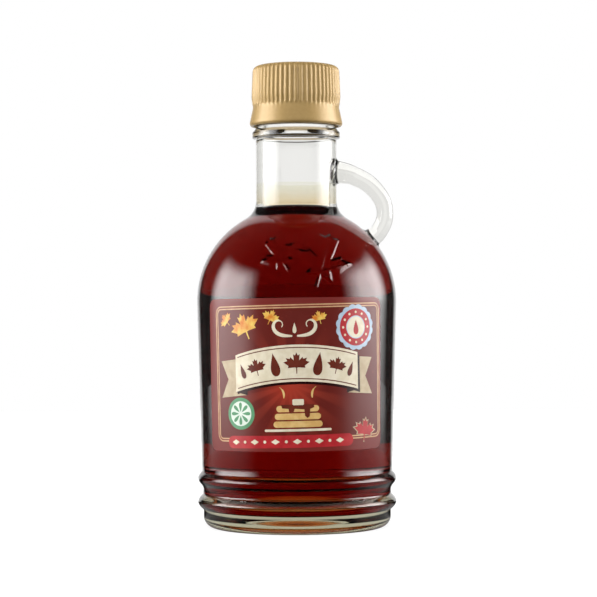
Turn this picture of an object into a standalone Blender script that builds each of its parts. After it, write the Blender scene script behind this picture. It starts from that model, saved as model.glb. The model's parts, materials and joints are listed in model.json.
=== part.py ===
"""A round clear glass bottle of dark maple syrup, with a small loop handle and a gold screw cap.

The bottle stands upright at the origin, on the ring round its push-up, with its axis along Z.
+X points to the handle and -Y to the front label. Lengths are in metres.
"""

import math

import bmesh
import bpy
from mathutils import Matrix, Vector

MM = 0.001

# Glass, outside
BODY_R = 35.0 * MM            # widest, where the shoulder begins
BODY_FOOT_R = 33.4 * MM       # the body tapers down to this above the ribs
SHOULDER_Z = 79.1 * MM        # height of the widest circle
SHOULDER_R = 33.2 * MM        # radius of the shoulder's round, nearly a ball
NECK_R = 14.2 * MM
NECK_FILLET_R = 7.2 * MM      # hollow round between shoulder and neck
MOUTH_Z = 160.0 * MM
FINISH_R = 13.6 * MM          # the mouth's wall, under the cap
BEAD_HEAD_Z = 140.4 * MM      # the ring under the cap widens from here down
BEAD_Z = 137.6 * MM
BEAD_FOOT_Z = 136.2 * MM
BEAD_R = 15.45 * MM
BEAD_EDGE_ROUND = 0.2 * MM
RIB_R = 34.8 * MM
RIB_HALF_HEIGHT = 2.65 * MM    # a rib's section is a cosine of this half height
UPPER_RIB_Z = 17.2 * MM
LOWER_RIB_Z = 9.1 * MM
WAIST_R = 33.05 * MM          # beside and below the ribs
HEEL_R = 32.8 * MM
HEEL_ROUND_R = 3.9 * MM
RING_INNER_R = 24.0 * MM      # inner edge of the ring that the bottle stands on
PUSH_UP_HEIGHT = 3.2 * MM
PUSH_UP_SHOULDER = (15.0 * MM, 1.6 * MM)
LIP_ROUND = 0.8 * MM

# Glass, inside
WALL = 3.5 * MM
BORE_R = 11.8 * MM
FLOOR_Z = 5.8 * MM            # at its lowest ring, and higher in the middle
FLOOR_DOME = 6.0 * MM
FLOOR_SHOULDER = (12.0 * MM, 4.2 * MM)
FLOOR_ROUND_R = 6.0 * MM

# Handle: points of its centre line, each with x, z and the radius of the rod there
HANDLE_LINE = (
    (13.0, 124.8, 4.2),
    (20.4, 123.1, 3.35),
    (28.3, 117.4, 3.1),
    (31.2, 110.2, 2.95),
    (29.0, 103.6, 3.1),
    (24.5, 99.9, 3.7),
)
HANDLE_DEPTH = 1.12           # the rod is a little deeper, along Y, than it is high

# Maple leaves moulded on the shoulder: half of the outline, from the tip down to the stalk
LEAF_HALF = (
    (0.00, 1.06), (0.12, 0.94), (0.32, 0.97), (0.27, 0.58), (0.24, 0.26), (0.52, 0.42),
    (0.57, 0.34), (0.88, 0.31), (0.72, 0.12), (0.60, -0.04), (0.30, -0.10), (0.42, -0.38),
    (0.05, -0.28), (0.04, -0.74),
)
BIG_LEAF = dict(x=8.5 * MM, z=90.6 * MM, size=10.6 * MM, lean_deg=-15.0)
SMALL_LEAF = dict(x=-5.2 * MM, z=93.4 * MM, size=7.3 * MM, lean_deg=30.0)
LEAF_RELIEF = 0.35 * MM
LEAF_DEPTH_IN_GLASS = 1.2 * MM
LEAF_SKIN_DEG = (4.0, 66.0)   # the part of the shoulder's round that the leaves may lie on
LEAF_SKIN_STEPS = 7

# Cap
CAP_BOTTOM_Z = 140.6 * MM
CAP_TOP_Z = 161.9 * MM
CAP_BORE_R = 14.65 * MM
CAP_ROOF = 1.3 * MM
CAP_TOP_R = 15.3 * MM
CAP_WIDE_R = 15.65 * MM       # the fluted wall is widest at CAP_WIDE_Z
CAP_WIDE_Z = 151.0 * MM
CAP_GROOVE_R = 15.2 * MM      # between the fluted wall and the smooth band
CAP_BAND_Z = 147.1 * MM
CAP_BAND_FOOT_R = 16.3 * MM
CAP_FOOT_ROUND = 1.0 * MM     # the band's foot turns in over this height
CAP_FOOT_CHAMFER = 0.4 * MM
CAP_EDGE_ROUND = 2.2 * MM
FLUTE_FOOT_Z = 148.1 * MM
FLUTE_HEAD_Z = CAP_TOP_Z - 0.9 * MM
FLUTE_COUNT = 56
FLUTE_DEPTH = 0.38 * MM

# Syrup
FILL_Z = 110.2 * MM
CLEARANCE = 0.3 * MM          # between the glass and what touches it

# Labels
LABEL_THICKNESS = 0.25 * MM
LABEL_BOTTOM_Z = 28.4 * MM
LABEL_TOP_Z = 80.0 * MM
LABEL_CORNER_R = 3.0 * MM
FRONT_LABEL_MIDDLE_DEG = -91.3
FRONT_LABEL_HALF_DEG = 56.4
BACK_LABEL_MIDDLE_DEG = 90.0
BACK_LABEL_HALF_DEG = 50.0
LABEL_COLUMNS = 18

GLASS_STEPS = 48
CAP_STEPS = 2 * FLUTE_COUNT


def clear_scene():
    for obj in list(bpy.data.objects):
        bpy.data.objects.remove(obj, do_unlink=True)


def new_collection(name):
    collection = bpy.data.collections.new(name)
    bpy.context.scene.collection.children.link(collection)
    return collection


def material(name, colour, roughness, metallic=0.0, transmission=0.0):
    mat = bpy.data.materials.new(name)
    mat.use_nodes = True
    shader = mat.node_tree.nodes["Principled BSDF"]
    shader.inputs["Base Color"].default_value = (*colour, 1.0)
    shader.inputs["Roughness"].default_value = roughness
    shader.inputs["Metallic"].default_value = metallic
    shader.inputs["Transmission Weight"].default_value = transmission
    return mat


def arc(centre, radius, start_deg, end_deg, steps):
    """Points on a circle in the profile's plane, each a pair (r, z), both ends included."""
    points = []
    for i in range(steps + 1):
        angle = math.radians(start_deg + (end_deg - start_deg) * i / steps)
        points.append((centre[0] + radius * math.cos(angle), centre[1] + radius * math.sin(angle)))
    return points


def body_radius(z):
    """The tapered wall between the upper rib and the shoulder."""
    foot_z = UPPER_RIB_Z + RIB_HALF_HEIGHT
    share = (z - foot_z) / (SHOULDER_Z - foot_z)
    return BODY_FOOT_R + (BODY_R - BODY_FOOT_R) * max(0.0, min(1.0, share))


def rib(centre_z, foot_r):
    """A rounded rib, from its upper side to its lower side."""
    points = []
    for share in (0.85, 0.45, 0.0, -0.45, -0.85):
        height = math.cos(share * math.pi / 2)
        points.append((foot_r + (RIB_R - foot_r) * height, centre_z + share * RIB_HALF_HEIGHT))
    return points


def shoulder(inset, steps):
    """The hollow round from the neck, then the shoulder's round down to the widest circle.

    inset moves the whole curve inwards, for the inside of the glass and for the syrup.
    """
    centre = (BODY_R - SHOULDER_R, SHOULDER_Z)
    ball_r = SHOULDER_R - inset
    neck_r = NECK_R if inset == 0 else BORE_R - (inset - WALL)
    fillet_r = NECK_FILLET_R + inset
    fillet_x = neck_r + fillet_r
    reach = ball_r + fillet_r
    lift = math.sqrt(reach ** 2 - (fillet_x - centre[0]) ** 2)
    fillet_centre = (fillet_x, centre[1] + lift)
    meet_deg = math.degrees(math.atan2(lift, fillet_x - centre[0]))
    points = arc(fillet_centre, fillet_r, 180.0, 180.0 + meet_deg, 4)
    points += arc(centre, ball_r, meet_deg, 0.0, steps)[1:]
    return points


def outer_profile():
    """The glass outside, from the mouth down to the middle of the push-up."""
    points = [(FINISH_R - LIP_ROUND, MOUTH_Z), (FINISH_R, MOUTH_Z - LIP_ROUND)]
    half_height = BEAD_Z - BEAD_FOOT_Z
    points += [
        (FINISH_R, BEAD_HEAD_Z),
        (BEAD_R - BEAD_EDGE_ROUND, BEAD_Z + half_height - BEAD_EDGE_ROUND),
        (BEAD_R, BEAD_Z),
        (BEAD_R - BEAD_EDGE_ROUND, BEAD_FOOT_Z + BEAD_EDGE_ROUND),
        (NECK_R, BEAD_FOOT_Z),
    ]
    points += shoulder(0.0, 9)
    points += [(body_radius(UPPER_RIB_Z + RIB_HALF_HEIGHT), UPPER_RIB_Z + RIB_HALF_HEIGHT)]
    points += rib(UPPER_RIB_Z, (BODY_FOOT_R + WAIST_R) / 2)
    points += [(WAIST_R, (UPPER_RIB_Z + LOWER_RIB_Z) / 2)]
    points += rib(LOWER_RIB_Z, WAIST_R)
    points += [(HEEL_R, LOWER_RIB_Z - RIB_HALF_HEIGHT)]
    points += arc((HEEL_R - HEEL_ROUND_R, HEEL_ROUND_R), HEEL_ROUND_R, 0.0, -90.0, 4)
    points += [(RING_INNER_R, 0.0), PUSH_UP_SHOULDER, (0.0, PUSH_UP_HEIGHT)]
    return points


def inner_profile(inset, top_z):
    """The inside of the glass, or the syrup when inset is larger, from the top down to the floor."""
    floor_r = body_radius(FLOOR_Z) - inset
    extra = inset - WALL
    points = [(BORE_R - extra, top_z)]
    points += [point for point in shoulder(inset, 7) if point[1] < top_z - CLEARANCE]
    points += [(body_radius(UPPER_RIB_Z + RIB_HALF_HEIGHT) - inset, UPPER_RIB_Z + RIB_HALF_HEIGHT)]
    round_r = FLOOR_ROUND_R - extra
    round_centre = (floor_r - round_r, FLOOR_Z + extra + round_r)
    points += arc(round_centre, round_r, 0.0, -90.0, 3)
    points += [(FLOOR_SHOULDER[0], FLOOR_Z + FLOOR_SHOULDER[1] + extra)]
    points += [(0.0, FLOOR_Z + FLOOR_DOME + extra)]
    return points


def turned(name, profile, steps, collection, mat):
    """A profile of (r, z) pairs in the XZ plane, turned about Z by a Screw modifier."""
    mesh = bpy.data.meshes.new(name)
    verts = [(r, 0.0, z) for r, z in profile]
    edges = [(i, i + 1) for i in range(len(profile) - 1)]
    mesh.from_pydata(verts, edges, [])
    obj = bpy.data.objects.new(name, mesh)
    obj.data.materials.append(mat)
    collection.objects.link(obj)
    screw = obj.modifiers.new("turn", "SCREW")
    screw.axis = "Z"
    screw.angle = math.radians(360.0)
    screw.steps = steps
    screw.render_steps = steps
    screw.use_merge_vertices = True
    screw.merge_threshold = 0.00001
    screw.use_smooth_shade = True
    return obj


def applied(obj):
    """Replaces an object's mesh by its evaluated mesh, with its transform and modifiers applied."""
    bpy.context.view_layer.update()
    evaluated = obj.evaluated_get(bpy.context.evaluated_depsgraph_get())
    mesh = bpy.data.meshes.new_from_object(evaluated)
    mesh.transform(obj.matrix_world)
    obj.modifiers.clear()
    obj.data = mesh
    obj.matrix_world = Matrix.Identity(4)
    return obj


def as_guide(obj):
    """Marks a shape that another object's Boolean uses."""
    obj.hide_render = True
    obj.display_type = "WIRE"
    return obj


def join_or_cut(obj, tool, operation):
    boolean = obj.modifiers.new(tool.name, "BOOLEAN")
    boolean.operation = operation
    boolean.object = tool
    boolean.solver = "EXACT"
    return boolean


def handle_rod(collection, mat):
    """The loop: a curve from inside the neck's wall round into the shoulder's wall, made a mesh."""
    curve = bpy.data.curves.new("handle_line", "CURVE")
    curve.dimensions = "3D"
    curve.bevel_depth = 1.0 * MM
    curve.bevel_resolution = 4
    curve.resolution_u = 5
    curve.use_fill_caps = True
    spline = curve.splines.new("BEZIER")
    spline.bezier_points.add(len(HANDLE_LINE) - 1)
    for point, (x, z, radius) in zip(spline.bezier_points, HANDLE_LINE):
        point.co = (x * MM, 0.0, z * MM)
        point.radius = radius
        point.handle_left_type = "AUTO"
        point.handle_right_type = "AUTO"
    line = bpy.data.objects.new("handle_line", curve)
    collection.objects.link(line)
    line.scale = (1.0, HANDLE_DEPTH, 1.0)
    bpy.context.view_layer.update()
    evaluated = line.evaluated_get(bpy.context.evaluated_depsgraph_get())
    mesh = bpy.data.meshes.new_from_object(evaluated)
    mesh.transform(line.matrix_world)
    work = bmesh.new()
    work.from_mesh(mesh)
    bmesh.ops.remove_doubles(work, verts=work.verts, dist=0.00001)
    bmesh.ops.recalc_face_normals(work, faces=work.faces)
    work.to_mesh(mesh)
    work.free()
    mesh.materials.append(mat)
    rod = bpy.data.objects.new("handle_rod", mesh)
    collection.objects.link(rod)
    bpy.data.objects.remove(line, do_unlink=True)
    return as_guide(rod)


def leaf_outline(size):
    """A maple leaf in its own plane, as points that run once round it."""
    right = [Vector((x, y)) * size for x, y in LEAF_HALF]
    left = [Vector((-p.x, p.y)) for p in reversed(right[1:])]
    return right + left


def leaf_relief(name, x, z, size, lean_deg, blank, collection, mat):
    """A leaf on the shoulder's front: a prism along Y, kept where it meets a skin of the shoulder."""
    curve = bpy.data.curves.new(name, "CURVE")
    curve.dimensions = "2D"
    curve.fill_mode = "BOTH"
    curve.extrude = BODY_R / 2
    spline = curve.splines.new("POLY")
    outline = leaf_outline(size)
    spline.points.add(len(outline) - 1)
    for point, place in zip(spline.points, outline):
        point.co = (place.x, place.y, 0.0, 1.0)
    spline.use_cyclic_u = True
    flat = bpy.data.objects.new(name + "_flat", curve)
    collection.objects.link(flat)
    stand_up = Matrix.Rotation(math.radians(90.0), 4, "X")
    lean = Matrix.Rotation(math.radians(lean_deg), 4, "Z")
    flat.matrix_world = Matrix.Translation((x, -BODY_R, z)) @ stand_up @ lean
    bpy.context.view_layer.update()
    evaluated = flat.evaluated_get(bpy.context.evaluated_depsgraph_get())
    mesh = bpy.data.meshes.new_from_object(evaluated)
    mesh.transform(flat.matrix_world)
    work = bmesh.new()
    work.from_mesh(mesh)
    bmesh.ops.remove_doubles(work, verts=work.verts, dist=0.000001)
    bmesh.ops.recalc_face_normals(work, faces=work.faces)
    work.to_mesh(mesh)
    work.free()
    mesh.materials.append(mat)
    leaf = bpy.data.objects.new(name, mesh)
    collection.objects.link(leaf)
    bpy.data.objects.remove(flat, do_unlink=True)
    join_or_cut(leaf, blank, "INTERSECT")
    applied(leaf)
    return as_guide(leaf)


def shoulder_skin(collection, mat):
    """A closed ring that follows the shoulder, from just under its surface to the leaves' height."""
    centre = (BODY_R - SHOULDER_R, SHOULDER_Z)
    low_deg, high_deg = LEAF_SKIN_DEG
    outside = arc(centre, SHOULDER_R + LEAF_RELIEF, high_deg, low_deg, LEAF_SKIN_STEPS)
    inside = arc(centre, SHOULDER_R - LEAF_DEPTH_IN_GLASS, low_deg, high_deg, LEAF_SKIN_STEPS)
    ring = outside + inside
    skin = turned("shoulder_skin", ring + ring[:1], GLASS_STEPS, collection, mat)
    return as_guide(applied(skin))


def bottle_glass(collection, guides, mat):
    profile = list(reversed(inner_profile(WALL, MOUTH_Z))) + outer_profile()
    glass = applied(turned("bottle_glass", profile, GLASS_STEPS, collection, mat))
    smooth_shading(glass)
    skin = shoulder_skin(guides, mat)
    tools = [handle_rod(guides, mat)]
    tools.append(leaf_relief("big_leaf", blank=skin, collection=guides, mat=mat, **BIG_LEAF))
    tools.append(leaf_relief("small_leaf", blank=skin, collection=guides, mat=mat, **SMALL_LEAF))
    for tool in tools:
        join_or_cut(glass, tool, "UNION")
    return glass


def screw_cap(collection, mat):
    """The cap, turned, then with every second step of its fluted wall pushed in."""
    roof_z = CAP_TOP_Z - CAP_ROOF
    edge_centre = (CAP_TOP_R - CAP_EDGE_ROUND, CAP_TOP_Z - CAP_EDGE_ROUND)
    outside = [(0.0, CAP_TOP_Z)]
    outside += arc(edge_centre, CAP_EDGE_ROUND, 90.0, 0.0, 3)
    outside += [
        (CAP_WIDE_R, CAP_WIDE_Z),
        (CAP_GROOVE_R, FLUTE_FOOT_Z),
        (CAP_GROOVE_R, CAP_BAND_Z),
        (CAP_BAND_FOOT_R, CAP_BOTTOM_Z + CAP_FOOT_ROUND),
        (CAP_BAND_FOOT_R - CAP_FOOT_CHAMFER, CAP_BOTTOM_Z),
    ]
    inside = [(CAP_BORE_R, CAP_BOTTOM_Z), (CAP_BORE_R, roof_z), (0.0, roof_z)]
    cap = applied(turned("screw_cap", outside + inside, CAP_STEPS, collection, mat))
    for vert in cap.data.vertices:
        radius = math.hypot(vert.co.x, vert.co.y)
        step = round(math.degrees(math.atan2(vert.co.y, vert.co.x)) * CAP_STEPS / 360.0)
        outer_wall = radius > (CAP_TOP_R - CAP_EDGE_ROUND)
        fluted = FLUTE_FOOT_Z + FLUTE_DEPTH < vert.co.z < FLUTE_HEAD_Z
        if outer_wall and fluted and step % 2:
            scale = (radius - FLUTE_DEPTH) / radius
            vert.co.x *= scale
            vert.co.y *= scale
    return cap


def syrup(collection, mat):
    profile = [(0.0, FILL_Z)] + inner_profile(WALL + CLEARANCE, FILL_Z)
    return applied(turned("syrup", profile, GLASS_STEPS, collection, mat))


def label(name, half_deg, middle_deg, collection, mat):
    """A flat grid bent round the body, with rounded corners, thickened outwards."""
    work = bmesh.new()
    bmesh.ops.create_grid(work, x_segments=LABEL_COLUMNS, y_segments=2, size=0.5)
    half_height = (LABEL_TOP_Z - LABEL_BOTTOM_Z) / 2
    middle_z = (LABEL_TOP_Z + LABEL_BOTTOM_Z) / 2
    arc_length = math.radians(half_deg) * BODY_R
    for vert in work.verts:
        share_u = vert.co.x * 2
        share_v = vert.co.y * 2
        from_edge = arc_length * (1.0 - abs(share_u))
        missing = max(0.0, LABEL_CORNER_R - from_edge)
        dip = LABEL_CORNER_R - math.sqrt(max(0.0, LABEL_CORNER_R ** 2 - missing ** 2))
        z = middle_z + share_v * (half_height - dip)
        r = body_radius(z) + CLEARANCE
        angle = math.radians(middle_deg + share_u * half_deg)
        vert.co = (r * math.cos(angle), r * math.sin(angle), z)
    bmesh.ops.recalc_face_normals(work, faces=work.faces)
    outward = Vector((math.cos(math.radians(middle_deg)), math.sin(math.radians(middle_deg)), 0.0))
    if sum(face.normal.dot(outward) for face in work.faces) < 0:
        bmesh.ops.reverse_faces(work, faces=work.faces)
    mesh = bpy.data.meshes.new(name)
    work.to_mesh(mesh)
    work.free()
    mesh.materials.append(mat)
    obj = bpy.data.objects.new(name, mesh)
    collection.objects.link(obj)
    thicken = obj.modifiers.new("thickness", "SOLIDIFY")
    thicken.thickness = LABEL_THICKNESS
    thicken.offset = 1.0
    return obj


def smooth_shading(obj):
    obj.data.shade_smooth()
    obj.data.set_sharp_from_angle(angle=math.radians(35.0))


def build():
    clear_scene()
    parts = new_collection("maple_syrup_bottle")
    guides = new_collection("guides")
    clear_glass = material("clear_glass", (0.93, 0.95, 0.93), 0.02, transmission=1.0)
    gold = material("gold_metal", (0.66, 0.47, 0.22), 0.3, metallic=1.0)
    dark_syrup = material("dark_syrup", (0.16, 0.012, 0.008), 0.05, transmission=0.6)
    front_print = material("front_print", (0.18, 0.05, 0.03), 0.35)
    back_print = material("back_print", (0.12, 0.04, 0.03), 0.4)

    bottle_glass(parts, guides, clear_glass)
    smooth_shading(screw_cap(parts, gold))
    smooth_shading(syrup(parts, dark_syrup))
    label("front_label", FRONT_LABEL_HALF_DEG, FRONT_LABEL_MIDDLE_DEG, parts, front_print)
    label("back_label", BACK_LABEL_HALF_DEG, BACK_LABEL_MIDDLE_DEG, parts, back_print)


build()
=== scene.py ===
import json
import math

import bmesh
import bpy
import numpy as np
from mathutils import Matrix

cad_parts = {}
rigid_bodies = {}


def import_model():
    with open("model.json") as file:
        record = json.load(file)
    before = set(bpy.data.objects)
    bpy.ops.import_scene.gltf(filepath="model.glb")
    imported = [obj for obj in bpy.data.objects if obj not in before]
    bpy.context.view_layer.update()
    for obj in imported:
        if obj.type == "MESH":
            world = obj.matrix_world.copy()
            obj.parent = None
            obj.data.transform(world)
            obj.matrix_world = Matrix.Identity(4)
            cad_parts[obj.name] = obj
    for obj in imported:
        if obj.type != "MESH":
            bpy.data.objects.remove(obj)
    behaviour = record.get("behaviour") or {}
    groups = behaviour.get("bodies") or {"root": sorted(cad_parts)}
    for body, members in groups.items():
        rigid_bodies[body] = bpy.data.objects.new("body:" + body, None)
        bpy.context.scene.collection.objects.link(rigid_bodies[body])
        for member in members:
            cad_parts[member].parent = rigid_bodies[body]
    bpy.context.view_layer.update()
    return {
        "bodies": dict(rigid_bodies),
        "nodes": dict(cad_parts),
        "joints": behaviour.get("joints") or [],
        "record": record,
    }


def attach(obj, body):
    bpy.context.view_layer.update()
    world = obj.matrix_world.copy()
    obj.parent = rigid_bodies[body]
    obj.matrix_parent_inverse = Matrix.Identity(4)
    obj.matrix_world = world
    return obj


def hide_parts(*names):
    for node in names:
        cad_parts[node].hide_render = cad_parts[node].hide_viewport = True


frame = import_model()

MM = 0.001

# The bottle's driving sizes, as in the solids
BODY_R = 35.0 * MM
BODY_FOOT_R = 33.4 * MM
SHOULDER_Z = 79.1 * MM
SHOULDER_R = 33.2 * MM
NECK_R = 14.2 * MM
NECK_FILLET_R = 7.2 * MM
MOUTH_Z = 160.0 * MM
FINISH_R = 13.6 * MM
LIP_ROUND = 0.8 * MM
BEAD_HEAD_Z = 140.4 * MM
BEAD_Z = 137.6 * MM
BEAD_R = 15.45 * MM
BEAD_FOOT_Z = 136.2 * MM
BEAD_ROUND_R = 0.7 * MM
RIB_R = 34.8 * MM
RIB_HALF_HEIGHT = 2.65 * MM
RIB_STEPS = 20
UPPER_RIB_Z = 17.2 * MM
BODY_FOOT_Z = UPPER_RIB_Z + RIB_HALF_HEIGHT
LOWER_RIB_Z = 9.1 * MM
WAIST_R = 33.05 * MM
HEEL_R = 32.8 * MM
HEEL_ROUND_R = 3.9 * MM
RING_INNER_R = 24.0 * MM
PUSH_UP_HEIGHT = 3.2 * MM
PUSH_UP_FULLNESS = 1.15
PUSH_UP_STEPS = 16
WALL = 3.5 * MM
BORE_R = 11.8 * MM
FLOOR_Z = 5.8 * MM
FLOOR_DOME = 6.0 * MM
FLOOR_ROUND_R = 6.0 * MM
FLOOR_STEPS = 12
SHOULDER_STEPS = 96
FINE_STEP = 0.6 * MM

# The loop handle: x, z and rod radius of the points that its line passes, in millimetres
HANDLE_LINE = (
    (13.0, 124.8, 4.2),
    (20.4, 123.1, 3.35),
    (28.3, 117.4, 3.1),
    (31.2, 110.2, 2.95),
    (29.0, 103.6, 3.1),
    (24.5, 99.9, 3.7),
)
HANDLE_DEPTH = 1.12
HANDLE_FILLET_R = 0.8 * MM

# Half of a moulded maple leaf of size 1: the right side, from the tip down to the stalk
LEAF_HALF = (
    (0.00, 1.06), (0.12, 0.94), (0.32, 0.97), (0.27, 0.58), (0.24, 0.26), (0.52, 0.42), (0.57, 0.34),
    (0.88, 0.31), (0.72, 0.12), (0.60, -0.04), (0.30, -0.10), (0.42, -0.38), (0.05, -0.28), (0.04, -0.74),
)
LEAF_VEINS = ((0.0, 0.95), (0.78, 0.27), (-0.78, 0.27), (0.36, -0.33), (-0.36, -0.33), (0.0, -0.70))
LEAF_HEART = (0.0, -0.22)
MOULDED_LEAVES = (
    {"x": 8.5 * MM, "z": 90.6 * MM, "size": 10.6 * MM, "lean": -15.0},
    {"x": -5.2 * MM, "z": 93.4 * MM, "size": 7.3 * MM, "lean": 30.0},
)
LEAF_RELIEF = 0.38 * MM
LEAF_EDGE = 0.55 * MM
VEIN_RELIEF = 0.18 * MM
VEIN_HALF_WIDTH = 0.4 * MM
LEAF_LOW_Z = 80.5 * MM
LEAF_HIGH_Z = 104.5 * MM

# The columns of the turned meshes, in degrees: close together on the side with the moulded leaves
LEAF_SIDE_DEG = (-26.0, 38.0)
LEAF_COLUMN_DEG = 0.4
GLASS_COLUMN_DEG = 2.96
COLUMN_DEG = 2.5

# The screw cap
CAP_BOTTOM_Z = 140.6 * MM
CAP_TOP_Z = 161.9 * MM
CAP_BORE_R = 14.65 * MM
CAP_ROOF = 1.3 * MM
CAP_TOP_R = 15.3 * MM
CAP_WIDE_R = 15.65 * MM
CAP_WIDE_Z = 151.0 * MM
CAP_GROOVE_R = 15.2 * MM
CAP_BAND_Z = 147.1 * MM
CAP_BAND_FOOT_R = 16.3 * MM
CAP_FOOT_ROUND = 1.0 * MM
CAP_EDGE_ROUND = 2.2 * MM
CAP_EDGE_STEPS = 12
CAP_DISH = 0.1 * MM
FLUTE_FOOT_Z = 148.1 * MM
FLUTE_COUNT = 56
FLUTE_DEPTH = 0.38 * MM
FLUTE_COLUMNS = 12
FLUTE_IN_BAND = 0.10

# The syrup: its flat level, how it climbs the glass, and the wet band that it leaves above
LEVEL_Z = 108.8 * MM
CLIMB = 2.65 * MM
CLIMB_WIDTH = 1.7 * MM
SURFACE_STEPS = 26
REACH_IN_GLASS = 0.06 * MM
WET_TOP_Z = 120.4 * MM
WET_THICKNESS = 0.12 * MM
WET_LIFT = 0.002 * MM

# The printed films
FILM_LIFT = 0.03 * MM
FILM_THICKNESS = 0.08 * MM
INK_STEP = 0.02 * MM
INK_ROOT = 0.01 * MM
LABEL_BOTTOM_Z = 28.4 * MM
LABEL_TOP_Z = 80.0 * MM
LABEL_CORNER_R = 3.0 * MM
FRONT_LABEL_MIDDLE_DEG = -91.3
FRONT_LABEL_HALF_DEG = 56.4
FRONT_FILM_TILT_DEG = 0.6
FRONT_PRINT_TILT_DEG = 1.3
BACK_LABEL_MIDDLE_DEG = 90.0
BACK_LABEL_HALF_DEG = 50.0
WRAP_STEP = 1.0 * MM

# The front print, in millimetres from its middle line and from the ground
FRAME_BOX = (-31.2, 31.9, 32.9, 77.8)
BACK_FRAME_BOX = (-27.6, 31.4, 27.6, 77.0)
FRAME_CORNER_R = 2.6
FRAME_LINE = 0.42
FRAME_GAP = 0.42
PRINT_MIDDLE_Z = 54.8
FILM_CENTRE = (0.0, 54.0)
RAY_CENTRE = (-2.0, 50.8)
RAY_COUNT = 15.0
RIBBON_Z = 54.9
RIBBON_HALF_WIDTH = 22.0
RIBBON_HALF_HEIGHT = 6.2
RIBBON_RISE = 3.2
TAIL_ROOT = 17.5
TAIL_TIP = 28.6
TAIL_NOTCH = 3.2
TAIL_DROP = 1.9
PAPER_LIGHT = 1.2

# Half of a printed maple leaf of size 1
PRINT_LEAF_HALF = (
    (0.00, 1.00), (0.10, 0.78), (0.24, 0.86), (0.20, 0.42), (0.44, 0.66), (0.50, 0.52), (0.78, 0.60),
    (0.68, 0.38), (0.96, 0.28), (0.60, 0.02), (0.64, -0.14), (0.16, -0.10), (0.04, -0.12), (0.035, -0.55),
)

# The room that the glass and the cap mirror. An angle round Z is 0 in front and 180 behind, and an edge is
# the start and the end of its smooth step
SOFTBOX_RADIANCE = 8.6
LEFT_SOFTBOX_DEG = ((44.0, 72.0), (97.0, 120.0))
RIGHT_SOFTBOX_DEG = ((52.0, 86.0), (106.0, 131.0))
SOFTBOX_HEIGHT_DEG = ((-8.0, 4.0), (20.0, 37.0))
ROOM_RADIANCE = 0.02
BACKDROP_SIDE_DEG = (148.0, 157.0)
BACKDROP_TOP_DEG = (66.0, 76.0)

# The room that is seen through the glass
ROOM_THROUGH_GLASS = 0.8
BEHIND_SIDE_DEG = (124.0, 130.0)
SIDE_THROUGH_GLASS = 0.86
MIDDLE_THROUGH_GLASS = 0.95
MIDDLE_DEG = (5.0, 10.0)

# The floor, as the eye sees it, through the glass, and mirrored behind and beside the bottle
FLOOR_RADIUS = 0.9
FLOOR_SINK = 0.05 * MM
FLOOR_DARK = (0.01, 0.01, 0.01, 1.0)
FLOOR_PALE = (0.28, 0.28, 0.28, 1.0)
FLOOR_GLOW = 0.84
UNDER_FOOT = (110.0 * MM, 190.0 * MM)
FLOOR_THROUGH_GLASS = 0.4
FLOOR_THROUGH_SIDE_DEG = (120.0, 128.0)
FLOOR_MIRRORED_SIDE_DEG = (146.0, 154.0)
BESIDE_SIDE_DEG = ((44.0, 72.0), (112.0, 132.0))
BESIDE_REACH = (200.0 * MM, 700.0 * MM)
BESIDE_NEAR = 0.3
BESIDE_FAR = 2.2

# The light from the front
FILL_STRENGTH = 2.5
FILL_ELEVATION_DEG = 30.0
FILL_SOFTNESS_DEG = 60.0

# The materials
WHITE = (1.0, 1.0, 1.0, 1.0)
BLACK = (0.0, 0.0, 0.0, 1.0)
GLASS_IOR = 1.52
GLASS_COLOUR = (0.45, 0.41, 0.13, 1.0)
GLASS_DENSITY = 20.0
STIPPLE_ROUGHNESS = 0.1
# The cap's gold reflection, painted into the glass colour on the cone under the cap
CAP_REFLECTION_PAINT = (0.3, 0.2, 0.09, 1.0)
SYRUP_IOR = 1.46
SYRUP_COLOUR = (0.8354, 0.4583, 0.0417, 1.0)
SYRUP_DENSITY = 240.0
WET_LOW_COLOUR = (0.92, 0.83, 0.66, 1.0)
WET_HIGH_COLOUR = (0.95, 0.942, 0.872, 1.0)
GOLD_DARK = (0.36, 0.232, 0.080, 1.0)
GOLD_PALE = (0.43, 0.285, 0.108, 1.0)
FILM_IOR = 1.45

# The view: a camera in front of the bottle, its lens given by the photograph's framing
CAMERA_PLACE = (0.63 * MM, -699.0 * MM, 72.5 * MM)
CAMERA_PITCH_DEG = 0.62
CAMERA_ROLL_DEG = 0.19
CAMERA_FIELD_DEG = 17.1


def add(tree, kind, inputs=None, **settings):
    """A node with its settings, and its inputs linked to sockets or set to values."""
    made = tree.nodes.new(kind)
    for name, value in settings.items():
        setattr(made, name, value)
    for name, value in (inputs or {}).items():
        socket = made.inputs[name]
        if isinstance(value, bpy.types.NodeSocket):
            tree.links.new(value, socket)
        else:
            socket.default_value = value
    return made


def coordinates(tree, kind):
    return add(tree, "ShaderNodeTexCoord").outputs[kind]


def maths(tree, operation, *values):
    return add(tree, "ShaderNodeMath", dict(enumerate(values)), operation=operation).outputs[0]


def times(tree, first, second):
    return maths(tree, "MULTIPLY", first, second)


def rise(tree, value, low, high):
    """0 below low, 1 above high, and a smooth step between them."""
    inputs = {"Value": value, "From Min": low, "From Max": high}
    return add(tree, "ShaderNodeMapRange", inputs, interpolation_type="SMOOTHSTEP").outputs["Result"]


def inverse(tree, value):
    return maths(tree, "SUBTRACT", 1.0, value)


def band(tree, value, edges):
    """1 between two edges, each given as the start and end of its smooth step."""
    rising, falling = edges
    return times(tree, rise(tree, value, *rising), inverse(tree, rise(tree, value, *falling)))


def mixed(tree, share, first, second):
    """A colour between two colours."""
    return add(tree, "ShaderNodeMix", {0: share, 6: first, 7: second}, data_type="RGBA").outputs[2]


def between(tree, share, first, second):
    """A value between two values."""
    return add(tree, "ShaderNodeMix", {0: share, 2: first, 3: second}).outputs[0]


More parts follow.
